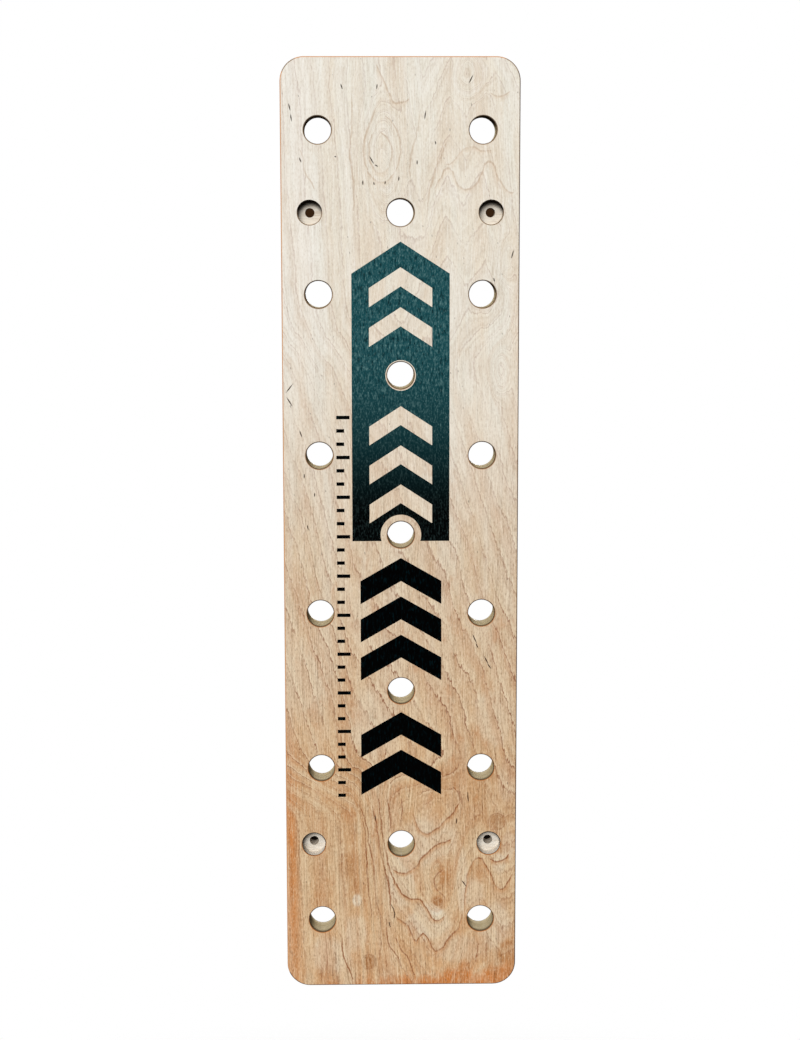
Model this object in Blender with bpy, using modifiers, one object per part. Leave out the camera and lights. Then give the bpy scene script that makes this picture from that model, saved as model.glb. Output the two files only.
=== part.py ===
"""Climbing pegboard: a wall-mounted birch plywood panel with two outer columns and one middle column
of peg holes, in staggered rows, and four counterbored holes for the wall bolts.

Units are metres, +Z is up and +X is to the right of someone who faces the board. The back face lies in
the plane y = 0 and the front face looks towards -Y. The origin is the centre of the four wall bolts.

The panel is built as it is made. Each layer of the laminate is a blank, all blanks are routed to one
outline with rounded edges, and then every hole is drilled through the whole stack.
"""

import math

import bmesh
import bpy
from mathutils import Matrix

# Panel
BOARD_WIDTH = 0.300
BOARD_HEIGHT = 1.200
BOARD_THICKNESS = 0.040
CORNER_RADIUS = 0.030
EDGE_ROUND = 0.002

# Laminate, from the front face to the back face: layer name, number of veneers, wood tone
LAYERS = (
    ("front_face_veneer", 1, "face"),
    ("front_crossband", 1, "cross"),
    ("core_plies_1", 5, "core"),
    ("core_plies_2", 8, "core"),
    ("core_plies_3", 4, "core"),
    ("core_plies_4", 4, "core"),
    ("core_plies_5", 4, "core"),
    ("back_crossband", 1, "cross"),
    ("back_face_veneer", 1, "face"),
)
VENEER = BOARD_THICKNESS / sum(count for _, count, _ in LAYERS)
GLUE_LINE = 0.0003

# Peg holes: even rows hold two outer holes and odd rows one middle hole
ROW_COUNT = 11
ROW_PITCH = 0.102
OUTER_COLUMN_X = 0.1035
PEG_HOLE_RADIUS = 0.017
PEG_RIM_ROUND = 0.002

# Counterbored holes for the wall bolts, level with the first and the last middle hole
BOLT_COLUMN_X = 0.114
BOLT_ROWS = (1, ROW_COUNT - 2)
BOLT_BORE_RADIUS = 0.006
POCKET_RADIUS = 0.015
POCKET_VENEERS = 13
POCKET_RIM_ROUND = 0.0015

# Facets
CORNER_STEPS = 6
PEG_HOLE_SIDES = 16
BOLT_HOLE_SIDES = 16
OVERRUN = 0.010
WELD_DISTANCE = 0.00001
SMOOTH_ANGLE = math.radians(30)

# Base colour and roughness of each wood tone
WOOD_TONES = {
    "face": ((0.76, 0.63, 0.44, 1.0), 0.55),
    "cross": ((0.50, 0.35, 0.20, 1.0), 0.70),
    "core": ((0.62, 0.46, 0.28, 1.0), 0.65),
}

FACE_TOWARDS_FRONT = Matrix.Rotation(math.radians(90), 4, "X")


def clear_scene():
    for scene_object in list(bpy.data.objects):
        bpy.data.objects.remove(scene_object, do_unlink=True)


def add_collection(name, parent):
    collection = bpy.data.collections.new(name)
    parent.children.link(collection)
    return collection


def wood_material(tone):
    """A plain Principled wood for one tone of the laminate."""
    colour, roughness = WOOD_TONES[tone]
    material = bpy.data.materials.new(f"birch_{tone}")
    material.use_nodes = True
    shader = material.node_tree.nodes["Principled BSDF"]
    shader.inputs["Base Color"].default_value = colour
    shader.inputs["Roughness"].default_value = roughness
    shader.inputs["Metallic"].default_value = 0.0
    material.diffuse_color = colour
    return material


def make_cutter(scene_object, collection):
    """Hides an object from renders and shows it as a wire."""
    scene_object.hide_render = True
    scene_object.display_type = "WIRE"
    collection.objects.link(scene_object)


def row_height(row):
    """Height of a row of holes above the origin. Row 0 is the top one."""
    return ((ROW_COUNT - 1) / 2 - row) * ROW_PITCH


def peg_hole_centres():
    """X and Z of every peg hole, from the top row down."""
    centres = []
    for row in range(ROW_COUNT):
        columns = (-OUTER_COLUMN_X, OUTER_COLUMN_X) if row % 2 == 0 else (0.0,)
        centres += [(x, row_height(row)) for x in columns]
    return centres


def bolt_hole_centres():
    """X and Z of the four wall bolts."""
    return [(side * BOLT_COLUMN_X, row_height(row)) for row in BOLT_ROWS for side in (-1, 1)]


def rounded_rectangle(width, height, radius, steps):
    """Points of a rounded rectangle about the origin, anticlockwise, with each corner an arc."""
    points = []
    for corner in range(4):
        centre_x = (width / 2 - radius) * (1 if corner in (0, 3) else -1)
        centre_y = (height / 2 - radius) * (1 if corner in (0, 1) else -1)
        for step in range(steps + 1):
            angle = math.radians(90) * (corner + step / steps)
            points.append((centre_x + radius * math.cos(angle), centre_y + radius * math.sin(angle)))
    return points


def outline_cutter(collection):
    """The whole board's routed form: the outline through the full thickness, with both edges rounded."""
    curve = bpy.data.curves.new("routed_outline_curve", "CURVE")
    curve.dimensions = "2D"
    curve.fill_mode = "BOTH"
    curve.extrude = BOARD_THICKNESS / 2 - EDGE_ROUND
    curve.bevel_depth = EDGE_ROUND
    curve.bevel_resolution = 1
    curve.offset = -EDGE_ROUND
    points = rounded_rectangle(BOARD_WIDTH, BOARD_HEIGHT, CORNER_RADIUS, CORNER_STEPS)
    spline = curve.splines.new("POLY")
    spline.points.add(len(points) - 1)
    for spline_point, (x, y) in zip(spline.points, points):
        spline_point.co = (x, y, 0.0, 1.0)
    spline.use_cyclic_u = True

    drawn = bpy.data.objects.new("routed_outline_curve", curve)
    drawn.matrix_world = Matrix.Translation((0.0, -BOARD_THICKNESS / 2, 0.0)) @ FACE_TOWARDS_FRONT
    collection.objects.link(drawn)
    evaluated = drawn.evaluated_get(bpy.context.evaluated_depsgraph_get())
    mesh = bpy.data.meshes.new_from_object(evaluated)
    mesh.name = "routed_outline"
    shape = bmesh.new()
    shape.from_mesh(mesh)
    bmesh.ops.remove_doubles(shape, verts=shape.verts, dist=WELD_DISTANCE)
    shape.to_mesh(mesh)
    shape.free()

    cutter = bpy.data.objects.new("routed_outline", mesh)
    cutter.matrix_world = drawn.matrix_world.copy()
    bpy.data.objects.remove(drawn, do_unlink=True)
    make_cutter(cutter, collection)
    return cutter


def turned_cutter_mesh(name, profile):
    """The profile's points joined by edges, for a Screw modifier to turn about Z."""
    mesh = bpy.data.meshes.new(name)
    edges = [(i, i + 1) for i in range(len(profile) - 1)]
    mesh.from_pydata([(radius, 0.0, z) for radius, z in profile], edges, [])
    return mesh


def hole_mouth_profile(radius, rim_round):
    """From the cutter's front end in to the hole's wall, round a rim that is rounded in two steps.

    Each point is a radius and a height above the back face.
    """
    wide = radius + rim_round
    front = BOARD_THICKNESS
    half_way = rim_round * (1 - math.cos(math.radians(45)))
    return (
        (0.0, front + OVERRUN),
        (wide, front + OVERRUN),
        (wide, front),
        (radius + half_way, front - half_way),
        (radius, front - rim_round),
    )


def peg_hole_profile():
    """A straight hole right through."""
    return (
        *hole_mouth_profile(PEG_HOLE_RADIUS, PEG_RIM_ROUND),
        (PEG_HOLE_RADIUS, -OVERRUN),
        (0.0, -OVERRUN),
    )


def bolt_hole_profile():
    """A counterbore for the bolt's head, cut down to a veneer's flat face, and the bore for its shank."""
    floor = BOARD_THICKNESS - POCKET_VENEERS * VENEER
    return (
        *hole_mouth_profile(POCKET_RADIUS, POCKET_RIM_ROUND),
        (POCKET_RADIUS, floor),
        (BOLT_BORE_RADIUS, floor),
        (BOLT_BORE_RADIUS, -OVERRUN),
        (0.0, -OVERRUN),
    )


def add_drill_cutters(name, profile, sides, centres, collection):
    """One turned cutter at each centre. They share their mesh."""
    mesh = turned_cutter_mesh(name, profile)
    for number, (x, z) in enumerate(centres, start=1):
        cutter = bpy.data.objects.new(f"{name}_{number:02d}", mesh)
        cutter.matrix_world = Matrix.Translation((x, 0.0, z)) @ FACE_TOWARDS_FRONT
        screw = cutter.modifiers.new("turn", "SCREW")
        screw.axis = "Z"
        screw.angle = math.radians(360)
        screw.steps = sides
        screw.render_steps = sides
        screw.use_merge_vertices = True
        screw.merge_threshold = WELD_DISTANCE
        make_cutter(cutter, collection)


def layer_blank(name, back_y, thickness):
    """An oversize flat sheet of the layer's thickness, before it is routed and drilled."""
    mesh = bpy.data.meshes.new(name)
    shape = bmesh.new()
    bmesh.ops.create_cube(shape, size=1.0)
    size = (BOARD_WIDTH + 2 * OVERRUN, thickness, BOARD_HEIGHT + 2 * OVERRUN)
    bmesh.ops.scale(shape, verts=shape.verts, vec=size)
    bmesh.ops.translate(shape, verts=shape.verts, vec=(0.0, -thickness / 2, 0.0))
    shape.to_mesh(mesh)
    shape.free()
    blank = bpy.data.objects.new(name, mesh)
    blank.location = (0.0, back_y, 0.0)
    return blank


def cut(layer, operation, cutter=None, cutters=None):
    """Adds a Boolean modifier with one cutter, or with all the cutters of a collection."""
    boolean = layer.modifiers.new(operation.lower(), "BOOLEAN")
    boolean.operation = operation
    boolean.solver = "EXACT"
    if cutters:
        boolean.operand_type = "COLLECTION"
        boolean.collection = cutters
    else:
        boolean.object = cutter


def shade(mesh):
    """Smooth round walls, with every edge of the layer's two flat faces kept sharp."""
    mesh.shade_smooth()
    shape = bmesh.new()
    shape.from_mesh(mesh)
    for edge in shape.edges:
        if len(edge.link_faces) != 2:
            continue
        flat_sides = sum(abs(face.normal.y) > 0.999 for face in edge.link_faces)
        edge.smooth = flat_sides == 2 or (flat_sides == 0 and edge.calc_face_angle() < SMOOTH_ANGLE)
    shape.to_mesh(mesh)
    shape.free()


def finish_layer(layer, material):
    """Replaces the layer's blank and its modifiers by the routed and drilled mesh."""
    evaluated = layer.evaluated_get(bpy.context.evaluated_depsgraph_get())
    mesh = bpy.data.meshes.new_from_object(evaluated)
    mesh.name = layer.name
    blank = layer.data
    layer.modifiers.clear()
    layer.data = mesh
    bpy.data.meshes.remove(blank)
    mesh.materials.clear()
    mesh.materials.append(material)
    shade(mesh)


def add_layers(collection, outline, drills, assembly):
    """Stacks the laminate from the front face to the back face, a glue line apart."""
    materials = {tone: wood_material(tone) for tone in WOOD_TONES}
    front_y = -BOARD_THICKNESS
    for name, count, tone in LAYERS:
        back_y = front_y + count * VENEER
        front_gap = 0.0 if name == LAYERS[0][0] else GLUE_LINE / 2
        back_gap = 0.0 if name == LAYERS[-1][0] else GLUE_LINE / 2
        # An outer blank runs past its face, so that only the routed outline cuts that face.
        front_spare = OVERRUN if name == LAYERS[0][0] else -front_gap
        back_spare = OVERRUN if name == LAYERS[-1][0] else -back_gap
        layer = layer_blank(name, back_y + back_spare, back_y - front_y + front_spare + back_spare)
        collection.objects.link(layer)
        cut(layer, "INTERSECT", cutter=outline)
        cut(layer, "DIFFERENCE", cutters=drills)
        finish_layer(layer, materials[tone])
        layer.parent = assembly
        front_y = back_y


def main():
    clear_scene()
    root = bpy.context.scene.collection
    board = add_collection("climbing_pegboard", root)
    cutters = add_collection("cutters", root)
    drills = add_collection("drill_cutters", cutters)

    outline = outline_cutter(cutters)
    add_drill_cutters("peg_hole", peg_hole_profile(), PEG_HOLE_SIDES, peg_hole_centres(), drills)
    add_drill_cutters("bolt_hole", bolt_hole_profile(), BOLT_HOLE_SIDES, bolt_hole_centres(), drills)

    assembly = bpy.data.objects.new("board_assembly", None)
    board.objects.link(assembly)
    add_layers(board, outline, drills, assembly)


main()
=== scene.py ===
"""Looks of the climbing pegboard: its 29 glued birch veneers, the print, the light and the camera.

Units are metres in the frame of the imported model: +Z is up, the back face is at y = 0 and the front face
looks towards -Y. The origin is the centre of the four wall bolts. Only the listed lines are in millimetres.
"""

import math

import bmesh
import bpy
from mathutils import Matrix, Vector


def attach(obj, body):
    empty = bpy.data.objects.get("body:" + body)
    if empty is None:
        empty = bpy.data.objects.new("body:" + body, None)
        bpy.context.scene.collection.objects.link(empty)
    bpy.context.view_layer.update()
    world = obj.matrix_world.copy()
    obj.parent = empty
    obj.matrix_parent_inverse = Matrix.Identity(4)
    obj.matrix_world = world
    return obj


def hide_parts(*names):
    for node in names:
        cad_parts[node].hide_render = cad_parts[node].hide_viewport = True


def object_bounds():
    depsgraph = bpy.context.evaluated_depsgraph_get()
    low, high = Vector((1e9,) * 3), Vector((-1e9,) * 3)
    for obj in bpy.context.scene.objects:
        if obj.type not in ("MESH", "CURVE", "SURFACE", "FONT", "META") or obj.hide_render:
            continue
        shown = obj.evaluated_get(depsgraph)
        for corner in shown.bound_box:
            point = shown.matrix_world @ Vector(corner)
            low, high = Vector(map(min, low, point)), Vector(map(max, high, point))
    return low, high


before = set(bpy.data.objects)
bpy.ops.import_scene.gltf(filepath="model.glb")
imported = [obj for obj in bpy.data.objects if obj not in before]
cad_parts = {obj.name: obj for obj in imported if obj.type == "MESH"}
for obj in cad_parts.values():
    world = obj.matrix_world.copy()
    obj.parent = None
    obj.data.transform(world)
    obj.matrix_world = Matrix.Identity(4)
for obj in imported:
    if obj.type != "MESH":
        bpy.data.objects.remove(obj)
cad_low, cad_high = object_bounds()

# Board, read from the frame
HALF_WIDTH = cad_high.x
HALF_HEIGHT = cad_high.z
THICKNESS = cad_high.y - cad_low.y
CORNER_RADIUS = 0.030
EDGE_ROUND = 0.002

# Laminate: the CAD nodes from the front face to the back face, with their numbers of veneers and slots
LAYERS = (
    ("front_face_veneer", 1, "face_veneer"),
    ("front_crossband", 1, "crossband"),
    ("core_plies_1", 5, "core_plies"),
    ("core_plies_2", 8, "core_plies"),
    ("core_plies_3", 4, "core_plies"),
    ("core_plies_4", 4, "core_plies"),
    ("core_plies_5", 4, "core_plies"),
    ("back_crossband", 1, "crossband"),
    ("back_face_veneer", 1, "face_veneer"),
)
VENEER_COUNT = sum(count for _, count, _ in LAYERS)
VENEER = THICKNESS / VENEER_COUNT
INK = 0.00005

# Peg holes: even rows hold two outer holes and odd rows one middle hole
ROW_COUNT = 11
ROW_PITCH = 0.102
OUTER_COLUMN_X = 0.1035
PEG_HOLE_RADIUS = 0.017
PEG_RIM_ROUND = 0.002

# Counterbored holes for the wall bolts
BOLT_COLUMN_X = 0.114
BOLT_ROWS = (1, ROW_COUNT - 2)
BOLT_BORE_RADIUS = 0.006
POCKET_RADIUS = 0.015
POCKET_VENEERS = 13
POCKET_DEPTH = POCKET_VENEERS * VENEER
POCKET_RIM_ROUND = 0.0015

# The shade under a pocket's upper rim: all but a round area right of the pocket's centre and below it
SHADE_RIGHT = 0.001
SHADE_DOWN = 0.0055
SHADE_START = 0.0125
SHADE_FULL = 0.0190

# Depths under the front face over which the darker tones of the holes' walls and the pockets' rims fade in:
# partly scorch and partly painted shade
SCORCH_FADE = (0.0120, 0.0045)
RIM_FADE = (0.0052, 0.0034)

# The pockets' mask fades in over these distances from their centres, the bores' pale tone over these depths
POCKET_MASK = (POCKET_RADIUS + 0.003, POCKET_RADIUS + 0.002)
BORE_FADE = (POCKET_DEPTH + 0.001, POCKET_DEPTH + 0.003)

# Half width of the strips along the board's middle in which the nearest pocket changes
POCKET_CHANGE = 0.01

# Distances from the board's middle over which the mask of the holes fades in, and distances from the outer
# edges at which the painted light and shade of the edges start and are full
HOLES_ACROSS = (0.138, 0.134)
HOLES_UPWARD = (0.560, 0.550)
EDGE_START = 0.0035
EDGE_FULL = 0.0025

# Facets
CORNER_STEPS = 14
PEG_HOLE_SIDES = 64
POCKET_SIDES = 48
ROUND_STEPS = 5
SHARP_ANGLE = math.radians(35)

# Camera, as fitted to the photograph's 800 x 1040 frame
CAMERA_PLACE = (-0.0493, -2.616, 0.3706)
CAMERA_PITCH = 7.767
CAMERA_TURN = -1.072
CAMERA_ROLL = -0.085
CAMERA_LENS = 70.38
SENSOR = 36.0

# Heights over which the face takes on the tones of its foot
FOOT_FADE = (0.42, -0.38)

# Where the orange strips of the face's left edge and of its foot fade in
LEFT_STRIP_ACROSS = (-0.126, -0.146)
LEFT_STRIP_DOWN = (-0.18, -0.42)
FOOT_STRIP = (-0.549, -0.572)

# Half widths of marks in the face veneer: small dark checks, curved cracks, the foot's and the top's lines
CHECK_HALF_WIDTH = 0.0007
CRACK_HALF_WIDTH = 0.0008
FOOT_LINE_HALF_WIDTH = 0.0012
TOP_LINE_HALF_WIDTH = 0.0013

# Farther, in half widths, than any mark reaches
FAR = 9.0

# A line's browner strip in half widths, the share of its last stretch that thins out, and how many times
# narrower the line is where that starts and at its very end
LINE_STRIP = 6.0
LINE_TAPER = 0.25
LINE_THINNED = 1.6
LINE_END = 60.0

# Stage: the world's level, low down and high up, and the directions' heights between which it changes
LOW_LEVEL = 0.02
HIGH_LEVEL = 0.50
LOW_SKY = -0.15
HIGH_SKY = 0.60
WHITE = (1.0, 1.0, 1.0, 1.0)
FLOOR_DROP = 1.0
FLOOR_RADIUS = 2.4
FLOOR_SOLID = 1.5
FLOOR_SIDES = 64
CARD_RADIUS = 0.009
CARD_GAP = 0.001

# Lamps: name, way towards the lamp, level, spread in degrees
SUNS = (
    ("key_sun", (-0.20, -1.0, 0.34), 0.86, 30.0),
    ("back_sun", (0.15, 1.0, 0.05), 0.45, 10.0),
    ("right_sun", (1.0, 0.25, 0.20), 0.28, 20.0),
    ("left_sun", (-1.0, 0.25, 0.20), 0.20, 20.0),
)


def row_height(row):
    """Height of a row of holes above the origin. Row 0 is the top one."""
    return ((ROW_COUNT - 1) / 2 - row) * ROW_PITCH


def peg_hole_centres():
    """X and Z of every peg hole, from the top row down."""
    centres = []
    for row in range(ROW_COUNT):
        columns = (-OUTER_COLUMN_X, OUTER_COLUMN_X) if row % 2 == 0 else (0.0,)
        centres += [(x, row_height(row)) for x in columns]
    return centres


def bolt_hole_centres():
    return [(side * BOLT_COLUMN_X, row_height(row)) for row in BOLT_ROWS for side in (-1, 1)]


def circle(centre, radius, sides):
    """Points in the XZ plane, anticlockwise as seen from the front."""
    x, z = centre
    angles = [math.tau * side / sides for side in range(sides)]
    return [(x + radius * math.cos(angle), z + radius * math.sin(angle)) for angle in angles]


def rounded_outline(inset):
    """The board's outline, drawn in by the inset, in the XZ plane."""
    radius = CORNER_RADIUS - inset
    points = []
    for corner in range(4):
        centre_x = (HALF_WIDTH - CORNER_RADIUS) * (1 if corner in (0, 3) else -1)
        centre_z = (HALF_HEIGHT - CORNER_RADIUS) * (1 if corner in (0, 1) else -1)
        for step in range(CORNER_STEPS + 1):
            angle = math.radians(90) * (corner + step / CORNER_STEPS)
            points.append((centre_x + radius * math.cos(angle), centre_z + radius * math.sin(angle)))
    return points


def rounding(depth, radius):
    """How far a rounded edge stands back at a depth under the face."""
    if depth >= radius:
        return 0.0
    return radius - math.sqrt(radius ** 2 - (radius - depth) ** 2)


def depths_between(start, end, radius):
    """Start, end and the steps of a rounded edge that lie between them."""
    turns = [math.radians(90) * step / ROUND_STEPS for step in range(1, ROUND_STEPS + 1)]
    steps = [radius * (1 - math.cos(turn)) for turn in turns]
    margin = VENEER / 50
    return [start] + [depth for depth in steps if start + margin < depth < end - margin] + [end]


def outline_rings(start, end):
    """The outline's rings through a veneer that lies between two depths under the front face."""
    if end <= THICKNESS / 2:
        depths = depths_between(start, end, EDGE_ROUND)
        return [(depth, rounded_outline(rounding(depth, EDGE_ROUND))) for depth in depths]
    heights = depths_between(THICKNESS - end, THICKNESS - start, EDGE_ROUND)
    rings = [(THICKNESS - height, rounded_outline(rounding(height, EDGE_ROUND))) for height in heights]
    return rings[::-1]


def hole_rings(centre, start, end, radius, rim, sides):
    """A round hole's rings through a veneer, with a rounded rim at the front face."""
    depths = depths_between(start, end, rim)
    return [(depth, circle(centre, radius + rounding(depth, rim), sides)) for depth in depths]


def bolt_hole_rings(centre, start, end):
    """A pocket with a rounded rim through the first veneers, then the bore. The next veneer is its floor."""
    if start >= POCKET_DEPTH:
        return [(depth, circle(centre, BOLT_BORE_RADIUS, POCKET_SIDES)) for depth in (start, end)]
    return hole_rings(centre, start, end, POCKET_RADIUS, POCKET_RIM_ROUND, POCKET_SIDES)


def solid(name, loops):
    """A closed mesh from loops. Each loop is a list of (depth, points) rings from the front to the back."""
    shape = bmesh.new()
    ends = ([], [])
    for rings in loops:
        rows = [[shape.verts.new((x, depth - THICKNESS, z)) for x, z in points] for depth, points in rings]
        for front_row, back_row in zip(rows, rows[1:]):
            for i in range(len(front_row)):
                shape.faces.new((front_row[i - 1], front_row[i], back_row[i], back_row[i - 1]))
        ends[0].append(rows[0])
        ends[1].append(rows[-1])
    rims = []
    for rows in ends:
        rim = [shape.edges.get((row[i - 1], row[i])) for row in rows for i in range(len(row))]
        bmesh.ops.triangle_fill(shape, edges=rim, use_beauty=True)
        rims += rim
    bmesh.ops.recalc_face_normals(shape, faces=shape.faces)
    for face in shape.faces:
        face.smooth = True
    for edge in shape.edges:
        edge.smooth = edge.calc_face_angle(0.0) < SHARP_ANGLE
    for edge in rims:
        edge.smooth = False
    mesh = bpy.data.meshes.new(name)
    shape.to_mesh(mesh)
    shape.free()
    piece = bpy.data.objects.new(name, mesh)
    bpy.context.scene.collection.objects.link(piece)
    return piece


def srgb(red, green, blue):
    """A colour given in the photograph's 0 to 255 values, as linear RGBA."""
    linear = []
    for value in (red, green, blue):
        share = value / 255
        linear.append(share / 12.92 if share <= 0.04045 else ((share + 0.055) / 1.055) ** 2.4)
    return (*linear, 1.0)


class Look:
    """Builds the nodes of a material or the world. Its methods add nodes and return their outputs. Colours
    are outputs, or three values from 0 to 255."""

    def __init__(self, owner, place="Object"):
        owner.use_nodes = True
        self.owner = owner
        self.tree = owner.node_tree
        self.shader = self.tree.nodes.get("Principled BSDF")
        self.place = self.node("ShaderNodeTexCoord", {}, place)
        self.x, self.y, self.z = self.parts(self.place)
        self.colour = None

    def parts(self, vector):
        """X, Y and Z of a vector."""
        split = self.tree.nodes.new("ShaderNodeSeparateXYZ")
        self.tree.links.new(vector, split.inputs[0])
        return split.outputs

    def node(self, kind, inputs, output=0, **settings):
        made = self.tree.nodes.new(kind)
        for name, value in settings.items():
            setattr(made, name, value)
        for name, value in inputs.items():
            if isinstance(value, bpy.types.NodeSocket):
                self.tree.links.new(value, made.inputs[name])
            else:
                made.inputs[name].default_value = value
        return made.outputs[output]

    def math(self, operation, *values):
        inputs = dict(enumerate(values))
        return self.node("ShaderNodeMath", inputs, operation=operation)

    def vectors(self, operation, *values, output=0):
        inputs = dict(enumerate(values))
        return self.node("ShaderNodeVectorMath", inputs, output, operation=operation)

    def chain(self, operation, *values):
        """The operation on the first two values, then on its result and the next, and so on."""
        result = values[0]
        for value in values[1:]:
            result = self.math(operation, result, value)
        return result

    def add(self, *values):
        return self.chain("ADD", *values)

    def times(self, *values):
        return self.chain("MULTIPLY", *values)

    def noise(self, vector, scale=1.0, detail=2.0, roughness=0.5, output="Fac"):
        inputs = {"Vector": vector, "Scale": scale, "Detail": detail, "Roughness": roughness}
        return self.node("ShaderNodeTexNoise", inputs, output)

    def streaks(self, x, y, z, place=None, turn=0.0, **settings):
        """Noise scaled along each axis, after a turn about Y by degrees."""
        vector = self.place if place is None else place
        if turn:
            inputs = {"Vector": vector, "Angle": math.radians(turn)}
            vector = self.node("ShaderNodeVectorRotate", inputs, rotation_type="Y_AXIS")
        return self.noise(self.node("ShaderNodeMapping", {"Vector": vector, "Scale": (x, y, z)}), **settings)

    def ramp(self, value, start, end, low=0.0, high=1.0):
        """Maps start..end to low..high, with soft ends."""
        inputs = {"Value": value, "From Min": start, "From Max": end, "To Min": low, "To Max": high}
        return self.node("ShaderNodeMapRange", inputs, interpolation_type="SMOOTHSTEP")

    def between(self, share, low, high):
        """Goes from low to high as the share goes from nought to one."""
        return self.ramp(share, 0.0, 1.0, low, high)

    def colours(self, value, stops):
        """A colour ramp of (position, colour) stops."""
        made = self.tree.nodes.new("ShaderNodeValToRGB")
        self.tree.links.new(value, made.inputs[0])
        elements = made.color_ramp.elements
        while len(elements) < len(stops):
            elements.new(0.5)
        for element, (position, colour) in zip(elements, stops):
            element.position = position
            element.color = srgb(*colour)
        return made.outputs[0]

    def curve(self, value, stops, straight=False):
        """A value read off a curve through (place, value) stops, and level past its ends."""
        made = self.tree.nodes.new("ShaderNodeFloatCurve")
        made.mapping.use_clip = False
        made.mapping.extend = "HORIZONTAL"
        points = made.mapping.curves[0].points
        ordered = sorted(stops)
        points[0].location = ordered[0]
        points[1].location = ordered[-1]
        for stop in ordered[1:-1]:
            points.new(*stop)
        if straight:
            for point in points:
                point.handle_type = "VECTOR"
        made.mapping.update()
        self.tree.links.new(value, made.inputs["Value"])
        return made.outputs[0]

    def mix(self, share, first, second):
        """Goes from the first colour to the second as the share goes from nought to one."""
        inputs = {0: share}
        for index, colour in ((6, first), (7, second)):
            inputs[index] = srgb(*colour) if isinstance(colour, tuple) else colour
        return self.node("ShaderNodeMix", inputs, 2, data_type="RGBA")

    def tint(self, share, colour):
        """Turns the look's own colour to another one by a share."""
        self.colour = self.mix(share, self.colour, colour)

    def hill(self, vector, x, z, width, height, rise):
        """A smooth round rise at a place on the face, down to nought at its outline."""
        away = self.vectors("SUBTRACT", vector, (x, 0.0, z))
        away = self.vectors("MULTIPLY", away, (1 / width, 0.0, 1 / height))
        return self.between(self.vectors("LENGTH", away, output="Value"), rise, 0.0)

    def finish(self, roughness, height, distance, gloss=0.2):
        """Sets the shader. The height's bumps are as deep as the distance."""
        self.tree.links.new(self.colour, self.shader.inputs["Base Color"])
        self.tree.links.new(roughness, self.shader.inputs["Roughness"])
        bump = self.node("ShaderNodeBump", {"Height": height, "Distance": distance}, "Normal")
        self.tree.links.new(bump, self.shader.inputs["Normal"])
        self.shader.inputs["Specular IOR Level"].default_value = gloss
        return self.owner


def new_look(name):
    return Look(bpy.data.materials.new(name))


# Run of one growth line across the board in three stretches of its height: x, the line's rise above the
# stretch's level, and how much a step up counts there. Lines stand upright where it counts little.
TOP_LINE = (
    (-0.150, 0.340, 0.15), (-0.060, 0.120, 0.15), (0.000, 0.000, 0.30), (0.030, -0.035, 1.00),
    (0.060, 0.045, 1.00), (0.082, 0.005, 1.00), (0.105, 0.051, 1.00), (0.125, -0.010, 1.00),
    (0.150, -0.120, 0.60),
)
MIDDLE_LINE = (
    (-0.150, 0.400, 1.00), (-0.060, 0.100, 1.00), (0.060, -0.100, 1.00), (0.150, -0.360, 1.00),
)
FOOT_LINE = (
    (-0.150, 0.560, 0.10), (-0.060, 0.380, 0.15), (-0.035, 0.210, 0.40), (-0.015, 0.085, 0.90),
    (0.000, 0.062, 1.00), (0.046, 0.000, 1.00), (0.066, 0.037, 1.00), (0.086, 0.105, 1.00),
    (0.105, 0.122, 1.00), (0.132, 0.078, 1.00), (0.150, 0.086, 1.00),
)

# The stretches' levels and rings per metre. The top and the foot also have what is added to their counts, and
# the heights over which they take over from the middle.
MIDDLE_STRETCH = (MIDDLE_LINE, 0.0, 17.0)
OTHER_STRETCHES = (
    ((TOP_LINE, 0.420, 20.0), 7.0, (0.20, 0.32)),
    ((FOOT_LINE, -0.551, 26.0), -4.0, (-0.28, -0.38)),
)

# Knots and swirls, as rises of the growth rings: x, z, half width, half height, rings
FIGURE_HILLS = (
    (-0.025, 0.468, 0.040, 0.095, 6.0), (0.087, 0.569, 0.034, 0.040, 3.0),
    (0.131, 0.350, 0.018, 0.046, 2.6), (0.124, 0.200, 0.020, 0.044, 2.6),
    (0.047, -0.457, 0.028, 0.050, 3.0),
)

# The stops of the listed lines and cracks are in millimetres
MILLIMETRES_PER_METRE = 1000

# Faint growth lines of the top, across the board as stops of x, z
TOP_LINES_ACROSS = (
    ((39, 431), (50, 450), (58, 462), (64, 461), (68, 450), (75, 439), (86, 437), (95, 443), (102, 456),
     (109, 471), (115, 469), (120, 457), (129, 441), (138, 432), (146, 438)),
    ((52, 468), (66, 470), (75, 483), (91, 489), (103, 484), (118, 486)),
    ((-34, 597), (-23, 576), (-14, 555), (-7, 543), (4, 544), (13, 549)),
    ((107, 558), (119, 552), (130, 552), (139, 560)),
    ((-46, 470), (-40, 456), (-30, 447), (-22, 445), (-13, 450), (-3, 467)),
    ((-39, 480), (-35, 465), (-29, 458), (-22, 457), (-14, 465), (-10, 480)),
)
# and down the board as stops of z, x
TOP_LINES_DOWN = (
    ((540, -28), (520, -37), (503, -43), (485, -46), (468, -44), (455, -38)),
    ((531, -22), (517, -9), (503, -2), (485, 0), (468, -3), (455, -10)),
    ((510, -30), (499, -37), (485, -39), (469, -37), (458, -29)),
    ((512, -30), (503, -19), (494, -13), (482, -10), (468, -13), (458, -21)),
    ((492, -128), (475, -122), (459, -120), (445, -111), (431, -106)),
    ((534, 23), (510, 22), (485, 15), (468, 12), (445, 13)),
    ((534, 39), (510, 36), (485, 30), (468, 28), (441, 27)),
    ((500, 60), (480, 52), (460, 44), (430, 36), (390, 34)),
    ((560, -62), (520, -60), (480, -63), (440, -58), (400, -60)),
)

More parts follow.
